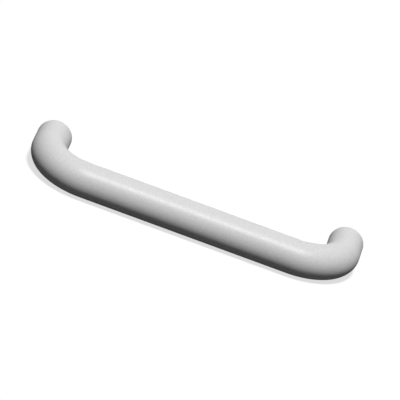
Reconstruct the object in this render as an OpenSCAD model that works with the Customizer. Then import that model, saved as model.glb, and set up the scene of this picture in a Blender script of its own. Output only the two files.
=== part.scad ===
// Bow-shaped wall rail: one bent tube with plain ends that stand on the wall.
// Inside each end the tube slides over a turned boss that is screwed to the wall,
// and a grub screw from below holds the tube on the boss.
// X runs along the bar, +Y points into the wall, +Z is up. Sizes are in millimetres.
// The origin is on the wall, midway between the two ends.

/* [Rail] */
// Distance between the middles of the two ends
centres = 300; // [200:10:600]
// Outside diameter of the tube
tube_d = 34.5; // [32:0.5:40]
// Thickness of the tube's wall
wall = 4; // [3:0.5:5]
// Radius of each bend, on the middle line of the tube
bend_r = 45; // [40:1:60]
// Straight length of each leg, from the wall to the bend
leg = 27; // [26:1:60]
// Rounding of the outer rim at each end
rim_r = 0.8; // [0.4:0.1:1.2]
// Bevel at the mouth of the bore
mouth_bevel = 0.6; // [0.3:0.1:1]

/* [Wall bosses] */
// Length of each boss
boss_len = 20; // [18:1:24]
// Gap all round between a boss and the bore
boss_play = 0.15; // [0.1:0.05:0.3]
// Bevel that leads the tube on to the boss
boss_bevel = 1.5; // [0.5:0.5:2]
// Bevel of the boss's edge at the wall
foot_bevel = 0.5; // [0.2:0.1:1]
// Diameter of the hole for the wall screw
screw_d = 5.5; // [4.5:0.5:6.5]
// Widest diameter of the countersink for the wall screw's head
head_d = 11; // [9:0.5:13]
// Depth of the V-shaped groove that the grub screw bears in
groove_deep = 2.5; // [2:0.1:3]

/* [Grub screws] */
// Diameter of the tapped hole in the tube
grub_d = 6; // [5:0.5:8]
// Gap all round between the grub screw and its hole
grub_play = 0.1; // [0.05:0.05:0.2]
// Distance of the grub screw from the wall
grub_at = 10; // [8:0.5:12]
// How far the grub screw sits below the tube's surface
grub_sunk = 0.6; // [0.3:0.1:1.2]
// Diameter of the flat at the tip of the cone point
tip_d = 1.5; // [1:0.25:2]
// Gap between the cone point and the groove
tip_play = 0.1; // [0.05:0.05:0.3]
// Width across the flats of the hexagon socket
socket_w = 3; // [2.5:0.5:4]
// Depth of the hexagon socket
socket_deep = 2.2; // [1.5:0.1:2.5]
// Bevel at the outer end of the grub screw
grub_bevel = 0.4; // [0.2:0.1:0.6]
// Bevel at the mouth of the tapped hole
hole_bevel = 0.4; // [0.2:0.1:0.8]

/* [Hidden] */
$fn = 96;
SIDES = ["left", "right"];
// How far a cutting shape runs past the face that it cuts
past = 1;
tube_r = tube_d / 2;
bore_r = tube_r - wall;
half_centres = centres / 2;
bar_half = half_centres - bend_r;
bar_y = -(leg + bend_r);
boss_r = bore_r - boss_play;
groove_r = boss_r - groove_deep;
screw_r = screw_d / 2;
head_r = head_d / 2;
grub_hole_r = grub_d / 2;
grub_r = grub_hole_r - grub_play;
// The cone point has the groove's angle, so its sharp end would lie just off the groove's floor
grub_out = tube_r - grub_sunk;
grub_len = grub_out - groove_r - tip_play - tip_d / 2;
cone_len = grub_r - tip_d / 2;

// Shapes are drawn for the right half. This puts one on the side that is named.
module on_side(side) {
    if (side == "left")
        mirror([1, 0, 0])
            children();
    else
        children();
}

// Moves a shape to the end of one leg, and turns +Z to run from the wall into the leg
module in_leg(side) {
    on_side(side)
        translate([half_centres, 0, 0])
            rotate([90, 0, 0])
                children();
}

// Round bar along the bar and both bends, without the legs
module bend_and_bar(r) {
    translate([-bar_half, bar_y, 0])
        rotate([0, 90, 0])
            cylinder(r = r, h = 2 * bar_half);
    for (side = SIDES)
        on_side(side)
            translate([bar_half, -leg, 0])
                rotate([0, 0, -90])
                    rotate_extrude(angle = 90)
                        translate([bend_r, 0])
                            circle(r = r);
}

// Outside of one leg, with the rim rounded where it meets the wall
module leg_outside() {
    rotate_extrude() {
        square([tube_r - rim_r, leg]);
        translate([0, rim_r])
            square([tube_r, leg - rim_r]);
        translate([tube_r - rim_r, rim_r])
            circle(r = rim_r);
    }
}

// Bore of one leg, opened out at the mouth
module leg_bore() {
    translate([0, 0, -past])
        cylinder(r = bore_r, h = leg + past);
    cylinder(r1 = bore_r + mouth_bevel, r2 = bore_r, h = mouth_bevel);
}

// Tapped hole through the underside of a leg, along the leg's own -Y
module grub_hole() {
    translate([0, 0, grub_at])
        rotate([90, 0, 0]) {
            cylinder(r = grub_hole_r, h = tube_r + past);
            translate([0, 0, tube_r - hole_bevel])
                cylinder(r1 = grub_hole_r, r2 = grub_hole_r + hole_bevel + past, h = hole_bevel + past);
        }
}

module rail() {
    color("gainsboro")
        difference() {
            union() {
                bend_and_bar(tube_r);
                for (side = SIDES)
                    in_leg(side)
                        leg_outside();
            }
            bend_and_bar(bore_r);
            for (side = SIDES)
                in_leg(side) {
                    leg_bore();
                    grub_hole();
                }
        }
}

// Turned boss: the wall screw goes through its middle, with the head sunk in the inner end
module wall_boss(side) {
    color("silver")
        in_leg(side)
            rotate_extrude()
                polygon([
                    [screw_r, 0],
                    [boss_r - foot_bevel, 0],
                    [boss_r, foot_bevel],
                    [boss_r, grub_at - groove_deep],
                    [groove_r, grub_at],
                    [boss_r, grub_at + groove_deep],
                    [boss_r, boss_len - boss_bevel],
                    [boss_r - boss_bevel, boss_len],
                    [head_r, boss_len],
                    [screw_r, boss_len - (head_r - screw_r)]
                ]);
}

// Grub screw with a hexagon socket, screwed up from below until its cone sits in the groove
module grub_screw(side) {
    color("dimgray")
        on_side(side)
            translate([half_centres, -grub_at, -grub_out])
                difference() {
                    rotate_extrude()
                        polygon([
                            [0, 0],
                            [grub_r - grub_bevel, 0],
                            [grub_r, grub_bevel],
                            [grub_r, grub_len - cone_len],
                            [tip_d / 2, grub_len],
                            [0, grub_len]
                        ]);
                    translate([0, 0, -past])
                        cylinder(d = socket_w / cos(30), h = socket_deep + past, $fn = 6);
                }
}

rail();
wall_boss("left");  // left_wall_boss
wall_boss("right");  // right_wall_boss
grub_screw("left");  // left_grub_screw
grub_screw("right");  // right_grub_screw
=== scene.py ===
import math

import bmesh
import bpy
from mathutils import Matrix, Vector


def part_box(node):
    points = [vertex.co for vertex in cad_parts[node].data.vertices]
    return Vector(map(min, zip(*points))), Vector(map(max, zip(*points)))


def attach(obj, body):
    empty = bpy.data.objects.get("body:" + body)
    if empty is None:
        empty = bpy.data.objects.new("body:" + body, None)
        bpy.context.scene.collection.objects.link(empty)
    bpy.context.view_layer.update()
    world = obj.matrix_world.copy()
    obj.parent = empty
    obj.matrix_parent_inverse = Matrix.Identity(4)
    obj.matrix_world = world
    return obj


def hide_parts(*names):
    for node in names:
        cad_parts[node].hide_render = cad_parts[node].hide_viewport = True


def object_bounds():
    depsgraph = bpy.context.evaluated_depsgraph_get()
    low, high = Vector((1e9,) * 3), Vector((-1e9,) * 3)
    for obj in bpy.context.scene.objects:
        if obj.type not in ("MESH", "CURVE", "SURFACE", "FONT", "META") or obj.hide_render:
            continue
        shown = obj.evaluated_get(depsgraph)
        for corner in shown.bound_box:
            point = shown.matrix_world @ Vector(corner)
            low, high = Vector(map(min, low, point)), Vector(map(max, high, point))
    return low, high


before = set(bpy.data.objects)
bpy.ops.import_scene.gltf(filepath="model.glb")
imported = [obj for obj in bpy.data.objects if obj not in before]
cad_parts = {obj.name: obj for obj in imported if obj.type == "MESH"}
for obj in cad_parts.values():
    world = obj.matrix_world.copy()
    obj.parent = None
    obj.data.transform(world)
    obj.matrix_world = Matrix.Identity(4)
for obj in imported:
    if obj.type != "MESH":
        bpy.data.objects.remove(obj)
cad_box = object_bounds()

# Sizes from the frame, in metres
MM = 0.001
SIDES = {"left": -1, "right": 1}
rail_low, rail_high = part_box("rail")
boss_low, boss_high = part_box("right_wall_boss")
grub_low, grub_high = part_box("right_grub_screw")
TUBE_R = -rail_low.z
HALF_CENTRES = rail_high.x - TUBE_R
BAR_Y = rail_low.y + TUBE_R
BOSS_R = (boss_high.x - boss_low.x) / 2
BOSS_LEN = -boss_low.y
GRUB_R = (grub_high.x - grub_low.x) / 2
GRUB_Y = (grub_low.y + grub_high.y) / 2

# Sizes of the tube that its box doesn't give
WALL = 4 * MM
BEND_R = 45 * MM
RIM_R = 0.8 * MM
MOUTH_BEVEL = 0.6 * MM
HOLE_BEVEL = 0.4 * MM
BORE_R = TUBE_R - WALL
BAR_HALF = HALF_CENTRES - BEND_R
LEG = -BAR_Y - BEND_R

# Sizes of the bosses
FOOT_BEVEL = 0.5 * MM
LEAD_BEVEL = 1.5 * MM
GROOVE_DEEP = 2.5 * MM
WALL_SCREW_R = 2.75 * MM
WALL_SCREW_HEAD_R = 5.5 * MM
EDGE_BREAK = 0.15 * MM

# Sizes of the grub screws: an M6 thread, of 1 mm pitch
PITCH = 1.0 * MM
THREAD_DEEP = 0.55 * MM
THREAD_PLAY = 0.1 * MM
TIP_R = 0.75 * MM
GRUB_BEVEL = 0.4 * MM
SOCKET_W = 3.0 * MM
SOCKET_CORNER_R = SOCKET_W / 2 / math.cos(math.pi / 6)
SOCKET_DEEP = 2.2 * MM
SOCKET_BEVEL = 0.15 * MM

# How finely the round shapes are divided
AROUND = 128
BEND_STEPS = 48
BAR_STEPS = 12
LEG_STEPS = 14
RIM_STEPS = 6
THREAD_STEPS = 48
# Edges that turn by more than this stay sharp
SHARP = math.radians(32)
# How far a cutting shape runs past what it cuts
PAST = 1 * MM
# Corners nearer than these are one corner: at the seam of a full turn, along a thread, after a cut
SEAM_MERGE = 0.001 * MM
THREAD_MERGE = 0.01 * MM
CUT_MERGE = 0.002 * MM
# Corners nearer than this to a cutting plane lie on it
ON_PLANE = 0.0001 * MM


def new_object(bm, name):
    """An object at the origin that holds a bmesh, which is freed."""
    mesh = bpy.data.meshes.new(name)
    bm.to_mesh(mesh)
    bm.free()
    piece = bpy.data.objects.new(name, mesh)
    bpy.context.scene.collection.objects.link(piece)
    return piece


def stand_in(bm, name, node):
    """The piece that a bmesh makes, which replaces a CAD node."""
    piece = new_object(bm, name)
    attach(piece, "root")
    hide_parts(node)
    return piece


def apply_modifier(piece, kind, **settings):
    """Adds a modifier to a piece and applies it."""
    modifier = piece.modifiers.new(kind.lower(), kind)
    for name, value in settings.items():
        setattr(modifier, name, value)
    with bpy.context.temp_override(object=piece, active_object=piece):
        bpy.ops.object.modifier_apply(modifier=modifier.name)


def combine(piece, operation, bm):
    """Cuts a bmesh's shape out of a piece, or keeps only what of the piece is inside it."""
    tool = new_object(bm, "tool")
    apply_modifier(piece, "BOOLEAN", operation=operation, solver="EXACT", object=tool)
    bpy.data.objects.remove(tool)


def clean_and_shade(piece):
    """Merges what the cuts left too close together, and shades the piece smooth, with its flat
    faces flat and its real edges sharp."""
    bm = bmesh.new()
    bm.from_mesh(piece.data)
    bmesh.ops.remove_doubles(bm, verts=bm.verts, dist=CUT_MERGE)
    bmesh.ops.dissolve_degenerate(bm, edges=bm.edges, dist=CUT_MERGE)
    bm.to_mesh(piece.data)
    bm.free()
    piece.data.shade_smooth()
    piece.data.set_sharp_from_angle(angle=SHARP)
    apply_modifier(piece, "WEIGHTED_NORMAL", keep_sharp=True)


def lathe(profile, steps=AROUND):
    """Turns a profile of (radius, height) points about Z. One that doesn't start and end on the axis
    is closed, and makes a ring."""
    bm = bmesh.new()
    points = [bm.verts.new((radius, 0, height)) for radius, height in profile]
    edges = [bm.edges.new(pair) for pair in zip(points, points[1:])]
    off_the_axis = profile[0][0] > 0
    if off_the_axis:
        edges.append(bm.edges.new((points[-1], points[0])))
    bmesh.ops.spin(bm, geom=points + edges, cent=(0, 0, 0), axis=(0, 0, 1), angle=2 * math.pi,
                   steps=steps, use_merge=True)
    bmesh.ops.remove_doubles(bm, verts=bm.verts, dist=SEAM_MERGE)
    bmesh.ops.recalc_face_normals(bm, faces=bm.faces)
    return bm


def into_leg(side):
    """Turns +Z to run from the wall into the leg of one side."""
    return Matrix.Translation((SIDES[side] * HALF_CENTRES, 0, 0)) @ Matrix.Rotation(math.pi / 2, 4, "X")


def thread(radius, bottom, top):
    """Screw thread about Z between two heights: a zigzag profile is spun once while it climbs one
    pitch, so each tooth ends where the next began. It starts and ends more than a pitch outside the
    two heights, and is cut square there."""
    bm = bmesh.new()
    start = bottom - 1.5 * PITCH
    teeth = math.ceil((top - bottom) / PITCH) + 2
    profile = []
    for i in range(2 * teeth + 1):
        depth = THREAD_DEEP * (i % 2)
        profile.append(bm.verts.new((radius - depth, 0, start + i * PITCH / 2)))
    edges = [bm.edges.new(pair) for pair in zip(profile, profile[1:])]
    bmesh.ops.spin(bm, geom=profile + edges, cent=(0, 0, 0), axis=(0, 0, 1), angle=2 * math.pi,
                   dvec=(0, 0, PITCH / THREAD_STEPS), steps=THREAD_STEPS)
    bmesh.ops.remove_doubles(bm, verts=bm.verts, dist=THREAD_MERGE)
    for height, outward in ((bottom, -1), (top, 1)):
        everything = bm.verts[:] + bm.edges[:] + bm.faces[:]
        bmesh.ops.bisect_plane(bm, geom=everything, dist=ON_PLANE, plane_co=(0, 0, height),
                               plane_no=(0, 0, outward), clear_outer=True)
    bmesh.ops.holes_fill(bm, edges=[edge for edge in bm.edges if edge.is_boundary], sides=0)
    bmesh.ops.recalc_face_normals(bm, faces=bm.faces)
    return bm


def up_the_hole(side):
    """Turns shapes drawn about Z to the middle line of a grub screw."""
    return Matrix.Translation((SIDES[side] * HALF_CENTRES, GRUB_Y, 0))


def about(centre, change):
    """A turn or a scaling about a point other than the origin."""
    return Matrix.Translation(centre) @ change @ Matrix.Translation(-centre)


def draw_out(bm, ring, step, steps=1):
    """Extrudes a ring of edges in steps, each moved on by the same matrix. Returns the last ring."""
    for _ in range(steps):
        new = bmesh.ops.extrude_edge_only(bm, edges=ring)["geom"]
        corners = [item for item in new if isinstance(item, bmesh.types.BMVert)]
        ring = [item for item in new if isinstance(item, bmesh.types.BMEdge)
                and item.verts[0] in corners and item.verts[1] in corners]
        bmesh.ops.transform(bm, matrix=step, verts=corners)
    return ring


def tapping(side):
    """What is cut out of one leg for the grub screw: a thread right through the tube's wall."""
    bm = thread(GRUB_R + THREAD_PLAY, -TUBE_R - PAST, -BORE_R + PAST)
    bm.transform(up_the_hole(side))
    return bm


def countersink(side):
    """The bevel at the mouth of a tapped hole, down to the root of its thread."""
    mouth_r = GRUB_R + THREAD_PLAY + HOLE_BEVEL
    deep = HOLE_BEVEL + THREAD_DEEP
    bm = lathe([
        (0, -TUBE_R - PAST),
        (mouth_r + PAST, -TUBE_R - PAST),
        (mouth_r - deep, -TUBE_R + deep),
        (0, -TUBE_R + deep),
    ])
    bm.transform(up_the_hole(side))
    return bm


def bent_tube():
    """The rail: its section is drawn from the middle of the bar round a bend to the wall, turned in
    at the rim, taken back up the bore, and mirrored."""
    bend_turn = Matrix.Rotation(math.pi / 2 / BEND_STEPS, 4, "Z")
    bend_centre = Vector((BAR_HALF, -LEG, 0))
    along_bar = Vector((BAR_HALF / BAR_STEPS, 0, 0))
    along_leg = Vector((0, LEG / LEG_STEPS, 0))
    leg_end = Vector((HALF_CENTRES, 0, 0))

    bm = bmesh.new()
    place = Matrix.Translation((0, BAR_Y, 0)) @ Matrix.Rotation(math.pi / 2, 4, "Y")
    bmesh.ops.create_circle(bm, segments=AROUND, radius=TUBE_R, matrix=place)
    ring = draw_out(bm, bm.edges[:], Matrix.Translation(along_bar), BAR_STEPS)
    ring = draw_out(bm, ring, about(bend_centre, bend_turn), BEND_STEPS)
    rim = draw_out(bm, ring, Matrix.Translation(along_leg), LEG_STEPS)
    mouth = draw_out(bm, rim, about(leg_end, Matrix.Scale(BORE_R / TUBE_R, 4)))
    ring = draw_out(bm, mouth, Matrix.Translation(-along_leg), LEG_STEPS)
    ring = draw_out(bm, ring, about(bend_centre, bend_turn.inverted()), BEND_STEPS)
    draw_out(bm, ring, Matrix.Translation(-along_bar), BAR_STEPS)
    bmesh.ops.bevel(bm, geom=rim, offset=RIM_R, segments=RIM_STEPS, profile=0.5,
                    affect="EDGES", material=-1)
    bmesh.ops.bevel(bm, geom=mouth, offset=MOUTH_BEVEL, segments=1, profile=0.5,
                    affect="EDGES", material=-1)
    bmesh.ops.mirror(bm, geom=bm.verts[:] + bm.edges[:] + bm.faces[:], axis="X",
                     merge_dist=SEAM_MERGE)
    bmesh.ops.remove_doubles(bm, verts=bm.verts, dist=SEAM_MERGE)
    bmesh.ops.recalc_face_normals(bm, faces=bm.faces)
    tube = stand_in(bm, "bent_tube", "rail")
    for side in SIDES:
        combine(tube, "DIFFERENCE", tapping(side))
        combine(tube, "DIFFERENCE", countersink(side))
    clean_and_shade(tube)
    return tube


def turned_boss(side):
    """A wall boss: turned all over, with a groove for the grub screw and a countersunk hole."""
    groove = -GRUB_Y
    bm = lathe([
        (WALL_SCREW_R, 0),
        (BOSS_R - FOOT_BEVEL, 0),
        (BOSS_R, FOOT_BEVEL),
        (BOSS_R, groove - GROOVE_DEEP),
        (BOSS_R - GROOVE_DEEP, groove),
        (BOSS_R, groove + GROOVE_DEEP),
        (BOSS_R, BOSS_LEN - LEAD_BEVEL),
        (BOSS_R - LEAD_BEVEL, BOSS_LEN),
        (WALL_SCREW_HEAD_R, BOSS_LEN),
        (WALL_SCREW_R, BOSS_LEN - (WALL_SCREW_HEAD_R - WALL_SCREW_R)),
    ])
    edges = [edge for edge in bm.edges if edge.calc_face_angle() > SHARP]
    bmesh.ops.bevel(bm, geom=edges, offset=EDGE_BREAK, segments=2, profile=0.5,
                    affect="EDGES", material=-1)
    bm.transform(into_leg(side))
    boss = stand_in(bm, side + "_turned_boss", side + "_wall_boss")
    clean_and_shade(boss)
    return boss


def hexagon_socket(side):
    """What is cut out of a grub screw for the key."""
    bm = bmesh.new()
    place = Matrix.Translation((0, 0, grub_low.z + (SOCKET_DEEP - PAST) / 2))
    bmesh.ops.create_cone(bm, cap_ends=True, segments=6, radius1=SOCKET_CORNER_R,
                          radius2=SOCKET_CORNER_R, depth=SOCKET_DEEP + PAST, matrix=place)
    bm.transform(up_the_hole(side))
    return bm


def socket_lead(side):
    """The bevel that leads the key into the socket."""
    lead_r = SOCKET_CORNER_R + SOCKET_BEVEL
    bm = lathe([
        (0, grub_low.z - PAST),
        (lead_r + PAST, grub_low.z - PAST),
        (lead_r - PAST, grub_low.z + PAST),
        (0, grub_low.z + PAST),
    ], THREAD_STEPS)
    bm.transform(up_the_hole(side))
    return bm


def threaded_grub_screw(side):
    """A grub screw: the thread runs out on the cone point and on the bevel round the socket."""
    bottom = grub_low.z
    top = grub_high.z
    bm = thread(GRUB_R, bottom - PAST, top + PAST)
    bm.transform(up_the_hole(side))
    screw = stand_in(bm, side + "_threaded_screw", side + "_grub_screw")
    blank = lathe([
        (0, bottom),
        (GRUB_R - GRUB_BEVEL, bottom),
        (GRUB_R + PAST, bottom + GRUB_BEVEL + PAST),
        (GRUB_R + PAST, top - GRUB_R - PAST + TIP_R),
        (TIP_R, top),
        (0, top),
    ], THREAD_STEPS)
    blank.transform(up_the_hole(side))
    combine(screw, "INTERSECT", blank)
    combine(screw, "DIFFERENCE", hexagon_socket(side))
    combine(screw, "DIFFERENCE", socket_lead(side))
    clean_and_shade(screw)
    return screw


def linear(hex_colour):
    """An sRGB hex colour as the linear RGBA that Blender wants."""
    channels = [int(hex_colour[i:i + 2], 16) / 255 for i in (1, 3, 5)]
    return [c / 12.92 if c <= 0.04045 else ((c + 0.055) / 1.055) ** 2.4 for c in channels] + [1.0]


def add(tree, kind, inputs=None, **settings):
    """One node of a kind, its settings by name, and its inputs, by name or number, set or linked."""
    node = tree.nodes.new("ShaderNode" + kind)
    for name, value in settings.items():
        setattr(node, name, value)
    for socket, value in (inputs or {}).items():
        if isinstance(value, bpy.types.NodeSocket):
            tree.links.new(value, node.inputs[socket])
        else:
            node.inputs[socket].default_value = value
    return node


def new_material(name):
    """A material with an empty node tree, and that tree."""
    material = bpy.data.materials.new(name)
    material.use_nodes = True
    material.node_tree.nodes.clear()
    return material, material.node_tree


# A noise's values lie mostly between these
NOISE_LOW = 0.3
NOISE_HIGH = 0.7
# Sockets of a Mix node that mixes colours go by number, because several have the same name
FACTOR = 0
COLOUR_A = 6
COLOUR_B = 7
MIXED = 2


# Polyamide, injection moulded in a tool with a fine eroded finish: light grey all through, with a
# soft satin gloss, a fine speckle of painted shade that darkens the pits of the grain, and a faint
# unevenness where the melt flowed.
# A plastic's own gloss would mirror the white studio along every edge, and the real edges are dark.
# So that gloss is off, and a trace of metallic gives the highlight.
# The real grain is about 0.1 mm. It is drawn 1.3 mm coarse, so that it shows at this size.
POLYAMIDE_PALE = "#E3E3E3"
POLYAMIDE_DEEP = "#DEDEDE"
# The colour of the painted shade in the pits of the grain
POLYAMIDE_PAINTED_PIT_SHADE = "#D6D6D6"
POLYAMIDE_SPECULAR = 0.0
POLYAMIDE_METALLIC = 0.033
POLYAMIDE_ROUGHNESS = (0.38, 0.45)
GRAIN = 1.3 * MM
GRAIN_HIGH = 0.07 * MM
# Grain heights over which the painted pit shade fades out
PAINTED_PIT_SHADE_LOW = 0.35
PAINTED_PIT_SHADE_HIGH = 0.65
FLOW = 22 * MM
GLOSS_PATCH = 7 * MM


def moulded_polyamide():
    material, tree = new_material("moulded_polyamide")
    place = add(tree, "TexCoord").outputs["Object"]
    flow = add(tree, "TexNoise", {"Vector": place, "Scale": 1 / FLOW, "Detail": 3.0})
    flowed = add(tree, "Mix", {FACTOR: flow.outputs[0], COLOUR_A: linear(POLYAMIDE_DEEP),
                               COLOUR_B: linear(POLYAMIDE_PALE)}, data_type="RGBA")
    patches = add(tree, "TexNoise", {"Vector": place, "Scale": 1 / GLOSS_PATCH, "Detail": 2.0})
    gloss = add(tree, "MapRange", {"Value": patches.outputs[0], "From Min": NOISE_LOW,
                                   "From Max": NOISE_HIGH, "To Min": POLYAMIDE_ROUGHNESS[0],
                                   "To Max": POLYAMIDE_ROUGHNESS[1]})
    grain = add(tree, "TexNoise", {"Vector": place, "Scale": 1 / GRAIN, "Detail": 2.0})
    # Painted shade: the colour darkens where the grain's bump is low, in its pits
    out_of_painted_pit_shade = add(tree, "MapRange", {"Value": grain.outputs[0], "From Min": PAINTED_PIT_SHADE_LOW,
                                         "From Max": PAINTED_PIT_SHADE_HIGH})
    tone = add(tree, "Mix", {FACTOR: out_of_painted_pit_shade.outputs[0], COLOUR_A: linear(POLYAMIDE_PAINTED_PIT_SHADE),
                             COLOUR_B: flowed.outputs[MIXED]}, data_type="RGBA")
    bump = add(tree, "Bump", {"Height": grain.outputs[0], "Strength": 1.0, "Distance": GRAIN_HIGH})
    surface = add(tree, "BsdfPrincipled", {"Base Color": tone.outputs[MIXED],
                                           "Specular IOR Level": POLYAMIDE_SPECULAR,
                                           "Metallic": POLYAMIDE_METALLIC,
                                           "Roughness": gloss.outputs[0], "Normal": bump.outputs[0]})
    add(tree, "OutputMaterial", {"Surface": surface.outputs[0]})
    return material


# Aluminium bar, turned and left bare: pale and bright, with the fine rings that the tool's feed
# leaves round every surface, and a little dulled by handling.
# The real rings are about 0.15 mm apart. They are drawn 0.6 mm apart, so that they show.
ALUMINIUM = "#C9C9CB"
ALUMINIUM_DULL = "#B4B4B7"
ALUMINIUM_ROUGHNESS = (0.26, 0.4)
FEED = 0.6 * MM
FEED_HIGH = 0.012 * MM
HANDLED = 5 * MM


def turned_aluminium():
    material, tree = new_material("turned_aluminium")
    place = add(tree, "TexCoord").outputs["Object"]
    x, y, z = add(tree, "SeparateXYZ", {0: place}).outputs
    off_axis = add(tree, "Math", {0: add(tree, "Math", {0: x}, operation="ABSOLUTE").outputs[0],
                                  1: HALF_CENTRES}, operation="SUBTRACT")
    across = add(tree, "CombineXYZ", {0: off_axis.outputs[0], 2: z})
    radius = add(tree, "VectorMath", {0: across.outputs[0]}, operation="LENGTH").outputs["Value"]
    # Radius and depth together count the rings on the faces and along the sides alike
    travel = add(tree, "Math", {0: radius, 1: y}, operation="ADD")
    turns = add(tree, "Math", {0: travel.outputs[0], 1: 2 * math.pi / FEED}, operation="MULTIPLY")
    rings = add(tree, "Math", {0: turns.outputs[0]}, operation="SINE")
    handled = add(tree, "TexNoise", {"Vector": place, "Scale": 1 / HANDLED, "Detail": 4.0})
    tone = add(tree, "Mix", {FACTOR: handled.outputs[0], COLOUR_A: linear(ALUMINIUM),
                             COLOUR_B: linear(ALUMINIUM_DULL)}, data_type="RGBA")
    gloss = add(tree, "MapRange", {"Value": handled.outputs[0], "From Min": NOISE_LOW,
                                   "From Max": NOISE_HIGH, "To Min": ALUMINIUM_ROUGHNESS[0],
                                   "To Max": ALUMINIUM_ROUGHNESS[1]})
    bump = add(tree, "Bump", {"Height": rings.outputs[0], "Strength": 1.0, "Distance": FEED_HIGH})
    surface = add(tree, "BsdfPrincipled", {"Base Color": tone.outputs[MIXED], "Metallic": 1.0,
                                           "Roughness": gloss.outputs[0], "Normal": bump.outputs[0]})
    add(tree, "OutputMaterial", {"Surface": surface.outputs[0]})
    return material


# Stainless steel, headed and thread-rolled, then barrelled: darker and browner than the
# aluminium, evenly satin, with small dents from the barrel.
STEEL = "#A5A19B"
STEEL_SHADE = "#8E8A85"
STEEL_ROUGHNESS = (0.24, 0.38)
DENT = 0.5 * MM
DENT_HIGH = 0.01 * MM


def rolled_stainless():
    material, tree = new_material("rolled_stainless")
    place = add(tree, "TexCoord").outputs["Object"]
    dents = add(tree, "TexNoise", {"Vector": place, "Scale": 1 / DENT, "Detail": 3.0})
    tone = add(tree, "Mix", {FACTOR: dents.outputs[0], COLOUR_A: linear(STEEL),
                             COLOUR_B: linear(STEEL_SHADE)}, data_type="RGBA")
    gloss = add(tree, "MapRange", {"Value": dents.outputs[0], "From Min": NOISE_LOW,
                                   "From Max": NOISE_HIGH, "To Min": STEEL_ROUGHNESS[0],
                                   "To Max": STEEL_ROUGHNESS[1]})
    bump = add(tree, "Bump", {"Height": dents.outputs[0], "Strength": 1.0, "Distance": DENT_HIGH})
    surface = add(tree, "BsdfPrincipled", {"Base Color": tone.outputs[MIXED], "Metallic": 1.0,
                                           "Roughness": gloss.outputs[0], "Normal": bump.outputs[0]})
    add(tree, "OutputMaterial", {"Surface": surface.outputs[0]})
    return material


tube = bent_tube()
bosses = [turned_boss(side) for side in SIDES]
screws = [threaded_grub_screw(side) for side in SIDES]
for pieces, material, slot in (
    ([tube], moulded_polyamide(), "rail"),
    (bosses, turned_aluminium(), "boss"),
    (screws, rolled_stainless(), "screw"),
):
    for piece in pieces:
        piece.data.materials.append(material)


# Studio: a floor and a world that are white to the eye but throw little light back, as in the
# photograph, where the underside of the tube is the darkest part. The floor's own colour, which
# takes the shadow, and its glow make white together. Its radius is in metres.
WHITE = "#FFFFFF"
FLOOR_R = 30
FLOOR_COLOUR = "#9A9A9A"
FLOOR_GLOW = 0.7
FLOOR_BOUNCE = "#424242"
AMBIENT = 0.03


def white_to_the_eye(tree, other_rays, seen_rays):
    """Shows one shader to camera, glossy and transmission rays, and another to the rest."""
    path = add(tree, "LightPath")
    mirror = add(tree, "Math", {0: path.outputs["Is Camera Ray"], 1: path.outputs["Is Glossy Ray"]},
                 operation="MAXIMUM")
    seen = add(tree, "Math", {0: mirror.outputs[0], 1: path.outputs["Is Transmission Ray"]},
               operation="MAXIMUM")
    return add(tree, "MixShader", {0: seen.outputs[0], 1: other_rays.outputs[0],
                                   2: seen_rays.outputs[0]})


def pale_floor():
    bm = bmesh.new()
    place = Matrix.Translation((0, 0, cad_box[0].z))
    bmesh.ops.create_circle(bm, cap_ends=True, segments=AROUND, radius=FLOOR_R, matrix=place)
    floor = new_object(bm, "floor")
    material, tree = new_material("pale_floor")
    bounce = add(tree, "BsdfDiffuse", {"Color": linear(FLOOR_BOUNCE)})
    pale = add(tree, "BsdfDiffuse", {"Color": linear(FLOOR_COLOUR)})
    glow = add(tree, "Emission", {"Color": linear(WHITE), "Strength": FLOOR_GLOW})
    lit = add(tree, "AddShader", {0: pale.outputs[0], 1: glow.outputs[0]})
    shown = white_to_the_eye(tree, bounce, lit)
    add(tree, "OutputMaterial", {"Surface": shown.outputs[0]})
    floor.data.materials.append(material)


def white_world():
    world = bpy.data.worlds.new("studio")
    world.use_nodes = True
    bpy.context.scene.world = world
    tree = world.node_tree
    tree.nodes.clear()
    ambient = add(tree, "Background", {"Color": linear(WHITE), "Strength": AMBIENT})
    white = add(tree, "Background", {"Color": linear(WHITE), "Strength": 1.0})
    shown = white_to_the_eye(tree, ambient, white)
    add(tree, "OutputWorld", {"Surface": shown.outputs[0]})


def direction(azimuth, elevation):
    """The unit vector from the object towards a place round it: azimuth 0 is in front."""
    turn, rise = math.radians(azimuth), math.radians(elevation)
    return Vector((math.sin(turn) * math.cos(rise), -math.cos(turn) * math.cos(rise), math.sin(rise)))


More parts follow.
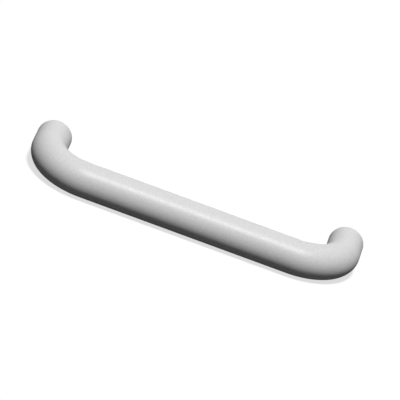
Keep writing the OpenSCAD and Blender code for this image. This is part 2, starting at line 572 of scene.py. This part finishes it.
def lamp(name, azimuth, elevation, strength, width):
    """A soft lamp far away, in a direction from the object. The angles and the width are degrees."""
    data = bpy.data.lights.new(name, "SUN")
    data.energy = strength
    data.angle = math.radians(width)
    light = bpy.data.objects.new(name, data)
    bpy.context.scene.collection.objects.link(light)
    light.rotation_mode = "QUATERNION"
    light.rotation_quaternion = direction(azimuth, elevation).to_track_quat("Z", "Y")


# Camera: straight in front of the bar and well above it, with the picture turned clockwise, and far
# away, because the tube is the same width at both ends of the photograph. Its angles are degrees.
PICTURE = 400
TUBE_R_PIXELS = 18.06
BAR_MIDDLE_PIXEL = (188.64, 218.12)
CAMERA_AZIMUTH = 0.87
CAMERA_ELEVATION = 24.08
CAMERA_ROLL = 19.78
CAMERA_FAR = 300 * TUBE_R
SENSOR = 36
# How far the camera sees, in metres: past the far edge of the floor
CAMERA_REACH = 100


def photo_camera():
    metres_per_pixel = TUBE_R / TUBE_R_PIXELS
    back = direction(CAMERA_AZIMUTH, CAMERA_ELEVATION)
    level = direction(CAMERA_AZIMUTH + 90, 0)
    roll = Matrix.Rotation(math.radians(CAMERA_ROLL), 3, back)
    right = roll @ level
    up = back.cross(right)
    sideways = PICTURE / 2 - BAR_MIDDLE_PIXEL[0]
    upward = BAR_MIDDLE_PIXEL[1] - PICTURE / 2
    aim = Vector((0, BAR_Y, 0)) + (right * sideways + up * upward) * metres_per_pixel
    data = bpy.data.cameras.new("camera")
    data.sensor_width = SENSOR
    data.lens = SENSOR * CAMERA_FAR / (PICTURE * metres_per_pixel)
    data.clip_end = CAMERA_REACH
    camera = bpy.data.objects.new("camera", data)
    bpy.context.scene.collection.objects.link(camera)
    axes = Matrix((right, up, back)).transposed().to_4x4()
    camera.matrix_world = Matrix.Translation(aim + back * CAMERA_FAR) @ axes
    bpy.context.scene.camera = camera


pale_floor()
white_world()
lamp("key", azimuth=10, elevation=69, strength=3.1, width=10)
lamp("back", azimuth=180, elevation=8, strength=0.8, width=40)
photo_camera()
bpy.context.scene.view_settings.view_transform = "Standard"
